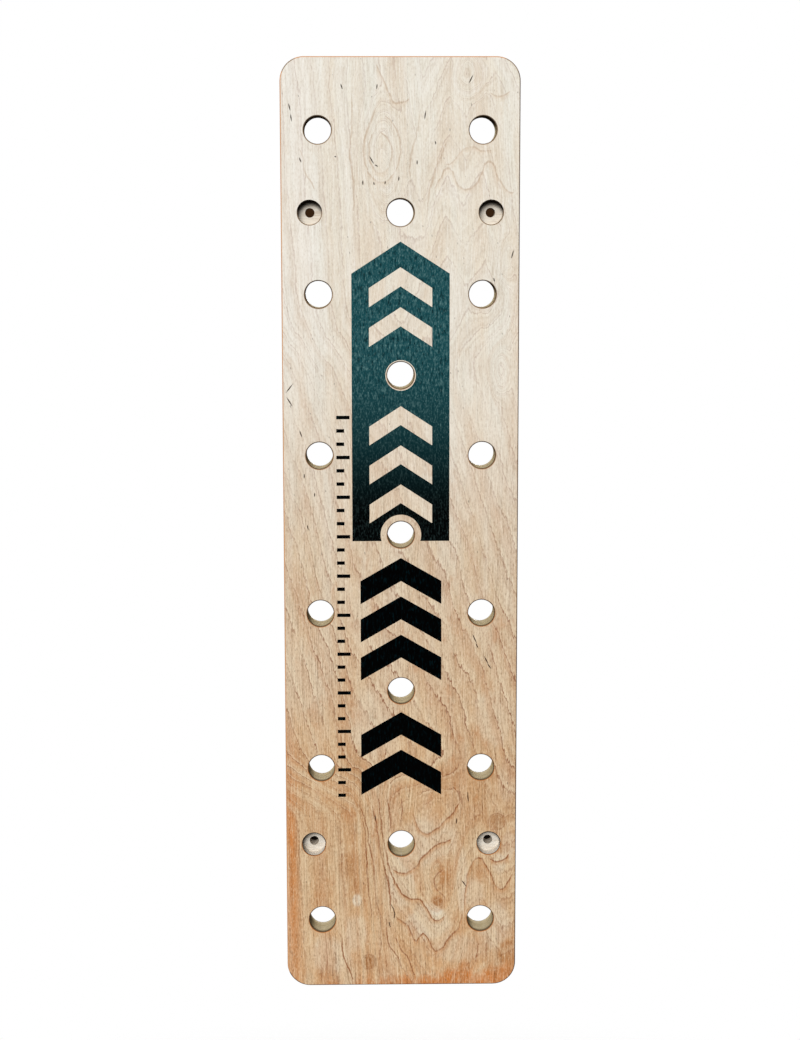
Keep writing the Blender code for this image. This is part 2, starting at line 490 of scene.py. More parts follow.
# Bold growth lines of the foot that run across the board: stops of x, z
LINES_ACROSS = (
    ((79, -504), (83, -485), (85, -462), (88, -446), (93, -435), (102, -428), (109, -434), (114, -443),
     (119, -454), (124, -466), (129, -470), (134, -470), (138, -463), (143, -455), (149, -444)),
    ((-15, -449), (-3, -469), (4, -478), (14, -483), (23, -484), (29, -488), (34, -498), (40, -508),
     (45, -513), (51, -511), (60, -503)),
    ((-11, -503), (0, -513), (8, -519), (14, -531), (20, -540), (23, -536), (28, -530), (34, -536),
     (40, -547), (45, -555), (51, -552), (57, -545), (62, -537), (68, -530), (75, -524), (79, -508),
     (81, -485)),
    ((14, -362), (17, -374), (20, -382), (27, -392), (34, -395), (42, -391), (49, -386), (57, -378),
     (64, -371), (71, -361), (80, -348)),
    ((-14, -441), (-3, -447), (4, -448), (12, -444), (19, -440), (25, -430), (34, -421), (43, -411),
     (53, -407), (62, -405), (68, -400)),
    ((112, -424), (118, -431), (126, -433), (135, -430), (141, -424), (145, -410)),
)
# Bold growth lines of the foot that run down the board: stops of z, x
LINES_DOWN = (
    ((-350, -58), (-387, -44), (-412, -42), (-434, -37), (-457, -35), (-484, -33), (-503, -28),
     (-523, -27), (-542, -27), (-575, -32)),
    ((-345, -41), (-380, -33), (-407, -29), (-432, -24), (-457, -18), (-484, -15), (-505, -15)),
    ((-335, -30), (-372, -27), (-397, -24), (-420, -20), (-445, -15), (-465, -5), (-480, 4)),
    ((-340, -19), (-361, -16), (-378, -14), (-398, -17)),
    ((-340, 1), (-361, 1), (-388, 0)),
    ((-370, -51), (-400, -47), (-440, -45), (-480, -42), (-520, -37)),
    ((-440, 60), (-446, 51), (-455, 44), (-465, 43), (-473, 49), (-481, 57), (-490, 59)),
    ((-529, -9), (-541, -5), (-552, 0), (-562, 8), (-574, 13), (-592, 19)),
    ((-500, -20), (-531, -19), (-544, -17), (-556, -9), (-566, -3), (-585, 1)),
    ((-520, -87), (-534, -79), (-552, -77), (-565, -75), (-579, -69), (-598, -61)),
    ((-505, -101), (-542, -99), (-561, -98), (-590, -100)),
    ((-424, -102), (-440, -103), (-462, -104)),
    ((-540, 103), (-555, 100), (-575, 98)),
    ((-536, 112), (-552, 111), (-568, 114)),
)

# Curved cracks of the foot, down the board as stops of z, x
CRACKS = (
    ((-488, -15), (-493, -11.8), (-498, -9.9), (-504, -9.2), (-509, -10.5), (-514, -13.5)),
    ((-512.5, -19), (-515, -15.5), (-518.5, -14.2), (-521.5, -14.3), (-524.5, -16), (-526.5, -20)),
    ((-510, -1), (-513, 2), (-517, 4.5), (-521, 7)),
    ((-512, 9.5), (-515, 7.5), (-519, 6.2)),
)

# Small dark checks in the face: x, z, half length, lean in degrees
CHECKS = (
    (-0.073, 0.563, 0.0030, 20.0), (-0.029, 0.563, 0.0026, -6.0), (0.088, 0.572, 0.0050, -26.0),
    (-0.138, 0.538, 0.0042, 14.0), (-0.136, 0.525, 0.0040, 8.0), (0.031, 0.528, 0.0046, -8.0),
    (-0.036, 0.473, 0.0046, 30.0), (-0.030, 0.466, 0.0020, 60.0), (0.021, 0.470, 0.0022, 0.0),
    (-0.081, 0.477, 0.0012, 70.0), (-0.125, 0.473, 0.0030, 22.0), (-0.047, 0.445, 0.0026, 0.0),
    (-0.033, 0.444, 0.0018, 8.0), (-0.019, 0.445, 0.0018, -10.0), (-0.002, 0.450, 0.0024, -6.0),
    (0.044, 0.494, 0.0020, 10.0), (0.141, 0.356, 0.0050, -16.0), (0.118, 0.324, 0.0024, 12.0),
    (-0.141, 0.188, 0.0060, -38.0), (-0.141, 0.171, 0.0060, 32.0), (-0.127, 0.130, 0.0040, 20.0),
    (-0.123, 0.076, 0.0026, 0.0), (-0.110, 0.052, 0.0022, 0.0), (-0.119, 0.010, 0.0026, 8.0),
    (0.095, -0.136, 0.0060, 24.0), (0.098, -0.145, 0.0030, 24.0), (0.110, -0.164, 0.0050, 28.0),
    (0.114, -0.172, 0.0040, 34.0), (0.082, -0.462, 0.0044, 36.0), (-0.034, -0.373, 0.0036, 0.0),
    (0.087, -0.346, 0.0060, 4.0), (0.072, -0.378, 0.0036, 0.0),
)

# Pale clouds near the foot: x, z, half width, half height, share
PALE_CLOUDS = (
    (0.047, -0.503, 0.013, 0.012, 0.95), (-0.058, -0.484, 0.010, 0.014, 0.90),
    (0.034, -0.515, 0.048, 0.040, 0.68), (0.035, -0.405, 0.060, 0.050, 0.40),
    (0.002, -0.455, 0.030, 0.070, 0.52), (0.080, -0.460, 0.012, 0.070, 0.50),
    (0.140, -0.412, 0.014, 0.030, 0.45), (0.128, -0.435, 0.014, 0.022, 0.60),
    (0.122, -0.520, 0.036, 0.050, 0.45), (0.075, -0.550, 0.060, 0.030, 0.32),
    (0.095, -0.475, 0.024, 0.034, 0.35), (0.120, -0.240, 0.040, 0.060, 0.35),
    (0.138, -0.325, 0.020, 0.050, 0.35), (-0.120, -0.190, 0.050, 0.080, 0.40),
    (-0.040, -0.245, 0.045, 0.070, 0.45), (-0.060, -0.530, 0.024, 0.040, 0.35),
    (-0.095, -0.560, 0.040, 0.040, 0.45),
)

# Brown patches about the knots and swirls: x, z, half width, half height, share
BROWN_PATCHES = (
    (0.055, -0.452, 0.020, 0.022, 0.75), (0.048, -0.485, 0.014, 0.012, 0.80),
    (-0.056, -0.466, 0.017, 0.018, 0.70), (-0.066, -0.440, 0.030, 0.036, 0.50),
    (-0.045, -0.570, 0.016, 0.018, 0.60), (0.103, -0.446, 0.016, 0.020, 0.50),
    (0.090, -0.335, 0.090, 0.080, 0.22), (-0.075, -0.415, 0.040, 0.050, 0.18),
    (-0.028, -0.572, 0.020, 0.022, 0.40), (0.140, -0.380, 0.014, 0.030, 0.15),
    (0.142, -0.556, 0.026, 0.034, 0.90),
)

# Small round knots: x, z, radius
KNOTS = (
    (0.125, -0.379, 0.0115), (-0.043, -0.568, 0.0105), (0.048, -0.487, 0.0060),
)


def surface_normal(look):
    return look.node("ShaderNodeNewGeometry", {}, "Normal")


def facing_front(look):
    """One where the surface faces the front, nought on the edges and less at the back."""
    return look.vectors("DOT_PRODUCT", surface_normal(look), (0.0, -1.0, 0.0), output="Value")


def drifted(look, amounts, *scales, detail=2.0):
    """The place, pushed about by a soft noise so that straight grain flows."""
    drift = look.streaks(*scales, detail=detail, output="Color")
    drift = look.vectors("SUBTRACT", drift, (0.5, 0.5, 0.5))
    return look.vectors("ADD", look.place, look.vectors("MULTIPLY", drift, amounts))


def ring_count(look, x, z, line, level, rate):
    """Growth rings passed on the way up from a line, at a rate per metre."""
    height = look.curve(x, [(spot, rise) for spot, rise, _ in line], straight=True)
    share = look.curve(x, [(spot, share) for spot, _, share in line], straight=True)
    climbed = look.times(look.add(z, -level), share)
    return look.times(look.math("SUBTRACT", climbed, height), rate)


def growth_rings(look):
    """Number of growth rings under each point of the face. Whole numbers are the dark lines."""
    place = drifted(look, (0.024, 0.0, 0.070), 13.0, 1.0, 6.0, detail=3.0)
    place = look.mix(look.ramp(look.z, -0.26, -0.40, 0.0, 0.75), place, look.place)
    x, _, z = look.parts(place)
    rings = ring_count(look, x, z, *MIDDLE_STRETCH)
    for stretch, joined, heights in OTHER_STRETCHES:
        others = look.add(ring_count(look, x, z, *stretch), joined)
        change = look.math("SUBTRACT", others, rings)
        rings = look.add(rings, look.times(change, look.ramp(z, *heights)))
    for hill in FIGURE_HILLS:
        rings = look.add(rings, look.hill(place, *hill))
    teeth = look.streaks(260.0, 1.0, 70.0, roughness=0.6)
    return look.add(rings, look.times(teeth, look.ramp(look.z, 0.3, -0.3, 0.35, 0.55)))


def line_distance(look, along, across, stops, half_width):
    """How far a listed line lies above or right of a point, in half widths. It thins out at its ends."""
    stops = sorted((spot / MILLIMETRES_PER_METRE, place / MILLIMETRES_PER_METRE) for spot, place in stops)
    narrow = []
    for before, stop, after in zip([stops[0]] + stops, stops, stops[1:] + [stops[-1]]):
        slope = (after[1] - before[1]) / (after[0] - before[0])
        narrow.append((stop[0], 1 / (half_width * math.hypot(1.0, slope))))
    tips = []
    for (spot, width), (inner, _) in ((narrow[0], narrow[1]), (narrow[-1], narrow[-2])):
        tips += [(spot, LINE_END / half_width), (spot + LINE_TAPER * (inner - spot), LINE_THINNED * width)]
    place = look.curve(along, stops)
    away = look.math("SUBTRACT", place, across)
    return look.times(away, look.curve(along, narrow[1:-1] + tips, straight=True))


def drawn_lines(look, across, down, half_width):
    """Marks of listed lines, and the browner strips under those that run across."""
    place = drifted(look, (0.005, 0.0, 0.005), 110.0, 1.0, 70.0, detail=4.0)
    x, _, z = look.parts(place)
    nearest = FAR
    strips = 0.0
    for stops in across:
        away = line_distance(look, x, z, stops, half_width)
        nearest = look.math("MINIMUM", look.math("ABSOLUTE", away), nearest)
        strip = look.times(look.ramp(away, -0.5, 0.5), look.ramp(away, LINE_STRIP, 0.5))
        strips = look.math("MAXIMUM", strip, strips)
    for stops in down:
        away = line_distance(look, z, x, stops, half_width)
        nearest = look.math("MINIMUM", look.math("ABSOLUTE", away), nearest)
    return look.ramp(nearest, 1.2, 0.4), strips


def add_knots(look, cloud):
    """Small round knots with a thin outline and faint rings of their own."""
    for x, z, radius in KNOTS:
        away = look.math("SUBTRACT", 1.0, look.hill(look.place, x, z, 1.4 * radius, 1.4 * radius, 1.0))
        away = look.add(away, look.times(cloud, 0.16))
        inside = look.times(look.ramp(away, 0.85, 0.70), look.ramp(cloud, 0.30, 0.70, 0.75, 0.35))
        look.tint(inside, (160, 106, 58))
        ring = look.ramp(look.math("PINGPONG", look.times(away, 5.0), 1.0), 0.5, 1.0)
        look.tint(look.times(ring, inside, 0.5), (140, 90, 52))
        outline = look.times(look.ramp(away, 0.93, 0.86), look.ramp(away, 0.72, 0.82))
        look.tint(look.times(outline, 0.6), (146, 92, 54))


def check_marks(look):
    """The listed checks, each a slim leaning stroke with ragged ends."""
    ragged = look.times(look.noise(look.place, scale=700.0, detail=1.0), 1.6)
    nearest = FAR
    for x, z, length, lean in CHECKS:
        cosine, sine = math.cos(math.radians(lean)), math.sin(math.radians(lean))
        away = ragged
        for to_x, to_z, reach in ((cosine, sine, CHECK_HALF_WIDTH), (-sine, cosine, length)):
            part = look.math("MULTIPLY_ADD", look.z, to_z / reach, -(x * to_x + z * to_z) / reach)
            part = look.math("MULTIPLY_ADD", look.x, to_x / reach, part)
            away = look.math("MULTIPLY_ADD", part, part, away)
        nearest = look.math("MINIMUM", away, nearest)
    return look.ramp(nearest, 2.8, 1.0)


def tint_by_height(look, foot, mask, shares, at_top, at_foot):
    """Tints under a mask, by shares and tints that change from the top of the face to its foot."""
    share = look.times(mask, look.between(foot, *shares))
    look.tint(share, look.mix(foot, at_top, at_foot))


def add_patches(look, ragged, patches, limits, tint):
    """Soft patches with ragged outlines, each tinted up to its share."""
    for *hill, most in patches:
        patch = look.times(look.hill(look.place, *hill, 1.0), ragged)
        look.tint(look.ramp(patch, *limits, 0.0, most), tint)


def add_wood_tone(look, cloud, foot):
    """Base colour of the face: pale and cool at the top, tan to orange at the foot, with soft clouds. Its
    darkening towards the foot is partly the wood's tone and partly painted shade.
    """
    drift = look.streaks(12.0, 1.0, 3.0, detail=3.0)
    drift = look.math("SUBTRACT", drift, 0.5)
    limits = {"Value": look.z, "From Min": -HALF_HEIGHT, "From Max": HALF_HEIGHT}
    height = look.node("ShaderNodeMapRange", limits)
    height = look.add(height, look.times(drift, 0.14))
    # Painted shade in part: the face darkens towards the foot, partly with the wood's own tone and partly
    # where the light falls off.
    look.colour = look.colours(height, (
        (0.00, (212, 168, 122)),
        (0.14, (210, 174, 132)),
        (0.23, (208, 168, 124)),
        (0.34, (214, 184, 148)),
        (0.46, (219, 197, 166)),
        (0.57, (226, 210, 188)),
        (0.68, (234, 222, 203)),
        (0.84, (235, 225, 207)),
        (1.00, (238, 231, 216)),
    ))
    place = drifted(look, (0.02, 0.0, 0.0), 5.0, 1.0, 4.0)
    column = look.streaks(26.0, 1.0, 2.2, place=place, detail=4.0, roughness=0.6)
    cool = look.times(look.ramp(column, 0.44, 0.66), look.between(foot, 0.55, 0.15))
    look.tint(cool, (231, 230, 220))
    tint_by_height(look, foot, look.ramp(column, 0.52, 0.34), (0.50, 0.20), (224, 206, 184), (204, 152, 106))
    right = look.times(look.ramp(look.x, 0.04, 0.13), look.ramp(look.z, 0.15, -0.05, 0.0, 0.25))
    look.tint(right, (196, 166, 130))
    # Paler towards the upper left of the face.
    paler_upper_left = look.times(look.ramp(look.x, -0.080, -0.125), look.ramp(look.z, 0.10, 0.30, 0.0, 0.55))
    look.tint(paler_upper_left, (245, 241, 233))

    tint_by_height(look, foot, look.ramp(cloud, 0.50, 0.70), (0.35, 0.74), (243, 238, 228), (226, 202, 166))
    tint_by_height(look, foot, look.ramp(cloud, 0.48, 0.30), (0.35, 0.78), (216, 198, 176), (190, 134, 86))
    ragged = look.times(cloud, 1.7)
    add_patches(look, ragged, PALE_CLOUDS, (0.08, 0.50), (229, 216, 192))
    add_patches(look, ragged, BROWN_PATCHES, (0.10, 0.60), (184, 126, 74))
    add_knots(look, cloud)

    left = look.times(look.ramp(look.x, *LEFT_STRIP_ACROSS), look.ramp(look.z, *LEFT_STRIP_DOWN),
                      look.ramp(cloud, 0.30, 0.55, 0.6, 1.0))
    low_edge = look.add(look.z, look.times(cloud, 0.06), look.times(look.x, -0.12))
    base = look.ramp(low_edge, *FOOT_STRIP, 0.0, 0.90)
    look.tint(left, (203, 128, 66))
    look.tint(base, (202, 118, 48))


def add_rings(look, foot):
    """Growth rings: dark lines with a shade on one side and a glow on the other, finer lines between them,
    and paler and deeper stretches. Returns the masks of the dark lines and of what fades them."""
    rings = growth_rings(look)
    share = look.math("FRACT", rings)
    fade = look.streaks(24.0, 1.0, 9.0, detail=3.0)
    fade = look.ramp(fade, 0.34, 0.56, 0.25, 1.0)
    bold = look.times(fade, look.ramp(foot, 0.25, 1.0, 0.30, 1.0), look.ramp(look.z, -0.30, -0.38, 1.0, 0.45))
    tone = look.noise(look.node("ShaderNodeCombineXYZ", {"X": look.times(rings, 0.8)}), detail=0.0)
    tint_by_height(look, foot, look.ramp(tone, 0.50, 0.64), (0.25, 0.42), (243, 238, 229), (224, 200, 164))
    tint_by_height(look, foot, look.ramp(tone, 0.48, 0.36), (0.22, 0.34), (220, 202, 180), (192, 138, 92))
    line = look.times(look.ramp(share, 0.89, 0.95), look.ramp(share, 1.0, 0.975), bold)
    shade = look.times(look.ramp(share, 0.2, 0.95), bold)
    glow = look.times(look.ramp(share, 0.35, 0.02), bold)
    look.tint(look.times(glow, 0.26), (238, 220, 188))
    look.tint(look.times(shade, 0.20), (184, 126, 82))
    look.tint(look.times(line, 0.85), (128, 70, 40))
    inner = look.math("PINGPONG", look.times(rings, 4.0), 1.0)
    inner = look.times(look.ramp(inner, 0.50, 0.95), fade, look.between(foot, 0.20, 0.24))
    look.tint(inner, look.mix(foot, (188, 168, 144), (160, 110, 70)))
    return line, fade


def add_drawn_lines(look, fade):
    """The listed lines of the top and of the foot, and the cracks."""
    drawn, beside = drawn_lines(look, TOP_LINES_ACROSS, TOP_LINES_DOWN, TOP_LINE_HALF_WIDTH)
    look.tint(look.times(beside, 0.30), (220, 196, 168))
    look.tint(look.times(drawn, fade, 0.55), (190, 162, 134))
    drawn, beside = drawn_lines(look, LINES_ACROSS, LINES_DOWN, FOOT_LINE_HALF_WIDTH)
    look.tint(look.times(beside, 0.60), (192, 134, 84))
    drawn = look.times(drawn, look.ramp(fade, 0.25, 1.0, 0.40, 0.90))
    look.tint(drawn, (142, 84, 46))
    cracks, _ = drawn_lines(look, (), CRACKS, CRACK_HALF_WIDTH)
    look.tint(cracks, (46, 20, 12))


def add_pores(look, foot):
    """Dark pores and pale gleams in long, fine and short strokes along the grain. Returns the pores."""
    flow = drifted(look, (0.034, 0.0, 0.0), 7.0, 1.0, 4.0, detail=1.0)
    long_lines = look.streaks(420.0, 1.0, 8.0, place=flow, detail=3.0, roughness=0.75)
    fine_lines = look.streaks(700.0, 1.0, 40.0, place=flow, roughness=0.6)
    dashes = look.streaks(620.0, 1.0, 240.0, roughness=0.6)
    pores = look.add(look.ramp(long_lines, 0.50, 0.72, 0.0, 0.50),
                     look.ramp(fine_lines, 0.50, 0.74, 0.0, 0.55),
                     look.ramp(dashes, 0.50, 0.74, 0.0, 0.60))
    gleam = look.add(look.ramp(long_lines, 0.48, 0.28, 0.0, 0.50),
                     look.ramp(fine_lines, 0.46, 0.28, 0.0, 0.50),
                     look.ramp(dashes, 0.48, 0.28, 0.0, 0.50))
    tint_by_height(look, foot, pores, (0.40, 0.80), (166, 148, 126), (122, 80, 46))
    tint_by_height(look, foot, gleam, (0.60, 0.74), (254, 252, 246), (242, 220, 184))
    return pores


def add_marks(look, foot):
    """Small dark specks and the listed checks."""
    specks = look.streaks(420.0, 1.0, 150.0, turn=8.0, detail=0.0)
    specks = look.ramp(specks, 0.80, 0.86, 0.0, 0.5)
    marks = look.math("MAXIMUM", specks, check_marks(look))
    look.tint(marks, look.mix(foot, (58, 46, 36), (52, 24, 12)))


def add_rims(look, foot):
    """Rims of the holes, partly scorched and partly in painted shade, darker with painted shade where they
    face down and near black with painted shade at the top of the pockets; the outer edges with painted light
    at the left and top and painted shade at the right.
    """
    facing = facing_front(look)
    # The rims darken as they turn from the front: partly scorch, partly the painted shade of the round-over.
    scorch_and_shade = look.ramp(facing, 0.992, 0.86)
    normal = look.parts(surface_normal(look))
    rim = look.mix(foot, (150, 122, 90), (190, 122, 68))
    # Painted shade: darker where the rims face down.
    rim = look.mix(look.ramp(normal[2], 0.10, -0.30), rim, look.mix(foot, (96, 74, 50), (92, 60, 36)))
    # Painted shade: darker still where the rounding turns far from the front.
    rim = look.mix(look.ramp(facing, 0.90, 0.50), rim, (84, 58, 36))
    # Painted shade: near black on the rims at the top of the pockets.
    shaded = look.times(in_pocket(look), look.ramp(normal[2], -0.03, -0.16))
    rim = look.mix(shaded, rim, (28, 17, 10))
    # Painted light on the left and top outer edges, painted shade on the right one.
    left = look.ramp(look.x, EDGE_START - HALF_WIDTH, EDGE_FULL - HALF_WIDTH)
    top = look.ramp(look.z, HALF_HEIGHT - EDGE_START, HALF_HEIGHT - EDGE_FULL)
    rim = look.mix(look.math("MAXIMUM", left, top), rim, (206, 150, 104))
    right = look.ramp(look.x, HALF_WIDTH - EDGE_START, HALF_WIDTH - EDGE_FULL)
    rim = look.mix(right, rim, (96, 72, 52))
    look.tint(look.math("MAXIMUM", look.times(scorch_and_shade, 0.94), shaded), rim)


def front_veneer():
    """Pale rotary-cut birch that turns warmer and bolder towards the foot of the board."""
    look = new_look("birch_front_veneer")
    foot = look.ramp(look.z, *FOOT_FADE)
    cloud = look.streaks(38.0, 1.0, 20.0, detail=6.0, roughness=0.68)
    add_wood_tone(look, cloud, foot)
    line, fade = add_rings(look, foot)
    add_drawn_lines(look, fade)
    pores = add_pores(look, foot)
    add_marks(look, foot)
    add_rims(look, foot)
    roughness = look.between(pores, 0.50, 0.70)
    relief = look.math("SUBTRACT", look.times(line, -0.5), pores)
    return look.finish(roughness, relief, distance=0.00008, gloss=0.08)


def pocket_distance(look, right=0.0, down=0.0):
    """Distance to the centre of the nearest bolt pocket, or to a place right of it and below it."""
    height = row_height(BOLT_ROWS[0])
    centre_x = look.ramp(look.x, -POCKET_CHANGE, POCKET_CHANGE, right - BOLT_COLUMN_X, right + BOLT_COLUMN_X)
    centre_z = look.ramp(look.z, -POCKET_CHANGE, POCKET_CHANGE, -height - down, height - down)
    across = look.math("SUBTRACT", look.x, centre_x)
    upward = look.math("SUBTRACT", look.z, centre_z)
    return look.math("SQRT", look.add(look.times(across, across), look.times(upward, upward)))


def in_pocket(look):
    """One inside the bolts' pockets and bores, and nought elsewhere."""
    return look.ramp(pocket_distance(look), *POCKET_MASK)


def pocket_shade(look):
    """One under the upper rims of the pockets, where the photograph shows a dark crescent."""
    away = pocket_distance(look, SHADE_RIGHT, SHADE_DOWN)
    return look.times(in_pocket(look), look.ramp(away, SHADE_START, SHADE_FULL))


def inside_holes(look):
    """One over all the holes, and nought along the board's outer edges."""
    across = look.math("ABSOLUTE", look.x)
    upward = look.math("ABSOLUTE", look.z)
    return look.times(look.ramp(across, *HOLES_ACROSS), look.ramp(upward, *HOLES_UPWARD))


def pocket_wall(look, bands, right, depth):
    """Tone of the pockets' walls: cream, browner on the left with painted shade, and darker at the rim,
    partly scorch and partly painted shade. The bores are pale.
    """
    cream = look.mix(look.ramp(bands, 0.4, 0.7), (246, 236, 222), (228, 214, 196))
    # Painted shade on the left walls, which face right.
    cream = look.mix(look.ramp(right, 0.30, 0.95, 0.0, 0.55), cream, (116, 104, 80))
    # Darker near the rim: partly scorch, partly painted shade.
    scorched_and_shaded_wall = look.mix(look.ramp(depth, *RIM_FADE, 0.0, 0.4), cream, (120, 92, 60))
    return look.mix(look.ramp(depth, *BORE_FADE), scorched_and_shaded_wall, (214, 200, 182))


def ply_wood(name, grain):
    """Inner veneer: pale on its face. Its edges are cream along the grain and tan across it, darker near the
    front with partly scorch and partly painted shade, and dark with painted shade where a hole's wall faces
    right or down."""
    look = new_look(name)
    normal = surface_normal(look)
    along = look.vectors("DOT_PRODUCT", normal, grain, output="Value")
    ends = look.ramp(look.math("ABSOLUTE", along), 0.15, 0.95)
    stretch = [700.0 if part == 0.0 else 40.0 for part in grain]
    fibres = look.streaks(*stretch, detail=3.0)
    bands = look.streaks(60.0, 240.0, 60.0, detail=3.0)
    dots = look.noise(look.place, scale=1400.0, detail=2.0)
    face = look.mix(look.ramp(fibres, 0.40, 0.75), (221, 214, 202), (202, 190, 174))
    side = look.mix(look.ramp(bands, 0.38, 0.62), (250, 238, 204), (226, 208, 166))
    end = look.mix(look.ramp(dots, 0.40, 0.62), (242, 222, 180), (206, 180, 134))
    hole = inside_holes(look)
    end = look.mix(hole, look.mix(look.ramp(dots, 0.40, 0.62), (186, 152, 104), (138, 104, 64)), end)
    look.colour = look.mix(look.times(ends, 0.8), side, end)
    # Darker near the front: partly scorch, partly painted shade.
    depth = look.add(look.y, THICKNESS, look.times(bands, 0.004))
    scorch_and_shade = look.ramp(depth, *SCORCH_FADE, 0.0, 0.85)
    look.tint(scorch_and_shade, (98, 72, 42))
    right, _, up = look.parts(normal)
    # Painted shade on the walls of holes that face right.
    look.tint(look.times(hole, look.ramp(right, 0.45, 0.98, 0.0, 0.80)), (54, 42, 24))
    wall = pocket_wall(look, bands, right, depth)
    look.tint(in_pocket(look), wall)
    # Painted shade, near black, on the walls of holes that face down.
    look.tint(look.times(hole, look.ramp(up, 0.05, -0.60, 0.0, 0.97)), (20, 13, 7))
    look.tint(look.ramp(facing_front(look), 0.4, 0.9), face)
    look.tint(look.times(pocket_shade(look), 0.96), (34, 23, 12))
    roughness = look.ramp(dots, 0.3, 0.7, 0.6, 0.8)
    return look.finish(roughness, fibres, distance=0.0001, gloss=0.0)


def back_veneer():
    """Plain back of the board: the same birch with a quiet, even grain."""
    look = new_look("birch_back_veneer")
    flow = drifted(look, (0.03, 0.0, 0.0), 6.0, 1.0, 2.0)
    lines = look.streaks(420.0, 1.0, 8.0, place=flow, detail=4.0, roughness=0.65)
    cloud = look.streaks(26.0, 1.0, 3.0, place=flow, detail=4.0)
    look.colour = look.mix(look.ramp(cloud, 0.35, 0.65), (222, 202, 172), (234, 220, 196))
    look.tint(look.ramp(lines, 0.46, 0.78, 0.0, 0.55), (170, 138, 100))
    # Darker brown where the back face rounds over into the edges.
    darker_edges = look.ramp(facing_front(look), -0.985, -0.80)
    look.tint(look.times(darker_edges, 0.85), (126, 96, 62))
    return look.finish(look.ramp(lines, 0.3, 0.7, 0.55, 0.7), lines, distance=-0.0001)


def ink(name, top, bottom, top_colour, bottom_colour, wear):
    """Matt printing ink that shades from one colour to the other. The grain wears it in short streaks."""
    look = new_look(name)
    share = look.ramp(look.z, top, bottom)
    look.colour = look.mix(share, top_colour, bottom_colour)
    fine = look.streaks(760.0, 1.0, 300.0)
    coarse = look.streaks(380.0, 1.0, 110.0, detail=3.0, roughness=0.65)
    pale = look.add(look.ramp(fine, 0.50, 0.74, 0.0, 0.55), look.ramp(coarse, 0.50, 0.72, 0.0, 0.55))
    streak = look.times(pale, look.between(share, wear, wear * 0.15))
    look.tint(streak, (120, 158, 156))
    dark = look.ramp(coarse, 0.49, 0.32, 0.0, 0.8)
    look.tint(look.times(dark, look.ramp(share, 0.6, 0.0)), (5, 24, 28))
    roughness = look.between(pale, 0.62, 0.72)
    return look.finish(roughness, pale, distance=-0.00004, gloss=0.0)


def add_veneers():
    """All the veneers from the front to the back. Grain is upright in odd ones and across in even ones."""
    faces = {1: front_veneer(), VENEER_COUNT: back_veneer()}
    long_ply = ply_wood("birch_ply_upright", (0.0, 0.0, 1.0))
    cross_ply = ply_wood("birch_ply_across", (1.0, 0.0, 0.0))
    number = 0
    for node, count, slot in LAYERS:
        for _ in range(count):
            start = number * VENEER if number else INK
            end = (number + 1) * VENEER
            loops = [outline_rings(start, end)]
            for centre in peg_hole_centres():
                loops.append(hole_rings(centre, start, end, PEG_HOLE_RADIUS, PEG_RIM_ROUND, PEG_HOLE_SIDES))
            loops += [bolt_hole_rings(centre, start, end) for centre in bolt_hole_centres()]
            number += 1
            piece = solid(f"ply_{number:02d}", loops)
            piece.data.materials.append(faces.get(number, long_ply if number % 2 else cross_ply))
            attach(piece, "root")
            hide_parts(node)


# Print: a band round the middle column, chevrons that point up the climb, and a scale beside it
BAND_HALF_WIDTH = 0.062
BAND_TOP = 0.372
BAND_FOOT = -0.008
BAND_POINT = 0.040
BAND_HOLE_ROW = 3
HOLE_MARGIN = 0.0004
FOOT_ARCH_RADIUS = 0.026
CHEVRON_HALF_WIDTH = 0.040
CHEVRON_RISE = 0.026
CHEVRON_STROKE = 0.024
CHEVRON_TIPS = (0.340, 0.290, 0.165, 0.115, 0.065)
BLACK_HALF_WIDTH = 0.052
BLACK_RISE = 0.030
BLACK_STROKE = 0.030
BLACK_TIPS = (-0.030, -0.080, -0.130, -0.232, -0.282)
TICK_X = -0.082
TICK_LENGTH = 0.010
TICK_LONG = 0.017
TICK_THICKNESS = 0.0045
TICK_STEP = ROW_PITCH / 6
TICK_TOP = 0.153
TICK_COUNT = 30


def chevron(tip, half_width, rise, stroke):
    """An upward chevron with its tip at a height, anticlockwise as seen from the front."""
    return [
        (0.0, tip),
        (-half_width, tip - rise),
        (-half_width, tip - rise - stroke),
        (0.0, tip - stroke),
        (half_width, tip - rise - stroke),
        (half_width, tip - rise),
    ]


def print_plate(name, outlines, material):
    """A layer of ink on the front face. Outlines that lie inside another one are left bare."""
    piece = solid(name, [[(0.0, points), (INK, points)] for points in outlines])
    piece.data.materials.append(material)
    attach(piece, "root")


def band_outline():
    """Pointed at the top, and arched at the foot over the middle hole."""
    arch = []
    low = math.asin(BAND_FOOT / FOOT_ARCH_RADIUS)
    for step in range(PEG_HOLE_SIDES // 2 + 1):
        angle = low + (math.pi - 2 * low) * step / (PEG_HOLE_SIDES // 2)
        arch.append((FOOT_ARCH_RADIUS * math.cos(angle), FOOT_ARCH_RADIUS * math.sin(angle)))
    return [
        (0.0, BAND_TOP),
        (-BAND_HALF_WIDTH, BAND_TOP - BAND_POINT),
        (-BAND_HALF_WIDTH, BAND_FOOT),
        *reversed(arch),
        (BAND_HALF_WIDTH, BAND_FOOT),
        (BAND_HALF_WIDTH, BAND_TOP - BAND_POINT),
    ]


def tick(number):
    """One mark of the scale beside the middle column. Every third one is long."""
    length = TICK_LONG if number % 3 == 0 else TICK_LENGTH
    top = TICK_TOP - number * TICK_STEP
    return [
        (TICK_X, top),
        (TICK_X, top - TICK_THICKNESS),
        (TICK_X + length, top - TICK_THICKNESS),
        (TICK_X + length, top),
    ]


